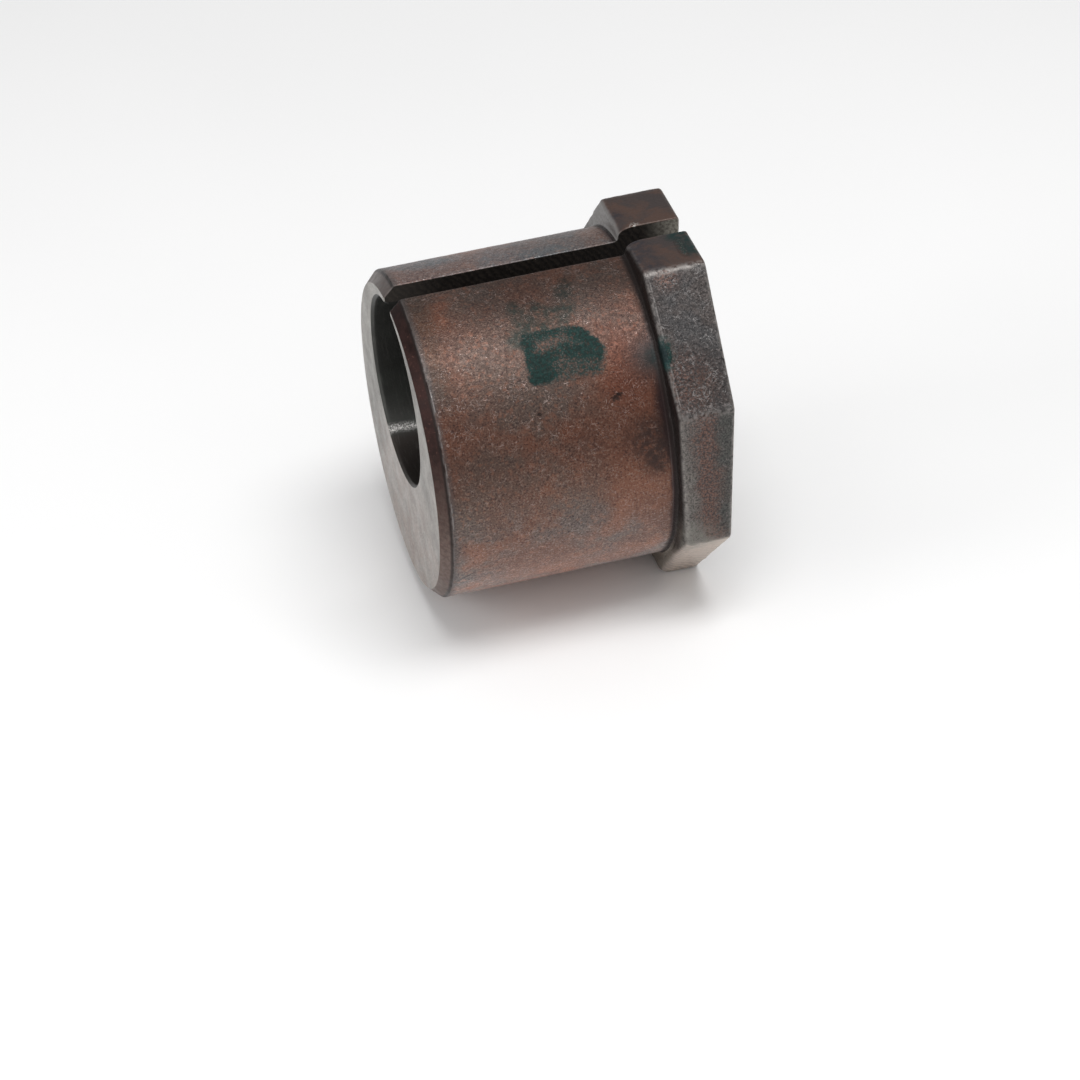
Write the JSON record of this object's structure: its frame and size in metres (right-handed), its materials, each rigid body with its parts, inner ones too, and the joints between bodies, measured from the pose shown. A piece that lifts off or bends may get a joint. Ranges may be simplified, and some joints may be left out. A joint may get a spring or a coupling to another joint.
{
  "type": "sleeve bushing",
  "caption": "Split eccentric sleeve bushing with an octagonal flange: off-centre leaning bore, one full-length clamping slit, bevelled free end.",
  "frame": {"origin": "where the sleeve's own axis meets the front face of the flange, the face that seats on the housing", "axes": "+X along the sleeve from its free end to the flange, +Z through the middle of the slit and square to the slotted flat, +Y to make a right-handed frame; the part lies on the flange's lowest flat"},
  "size_m": [0.032, 0.038, 0.0381],
  "materials": {
    "sleeve_metal": "copper-brown skin, worn and finely scratched, with bare grey machined metal on the free end and in the bore",
    "marking_paint": "thin worn blue-green marking paint"
  },
  "bodies": {
    "root": {"split_sleeve": "sleeve_metal", "sleeve_paint_dab": "marking_paint", "flange_side_paint_dab": "marking_paint", "flange_top_paint_dab": "marking_paint"}
  },
  "joints": []
}
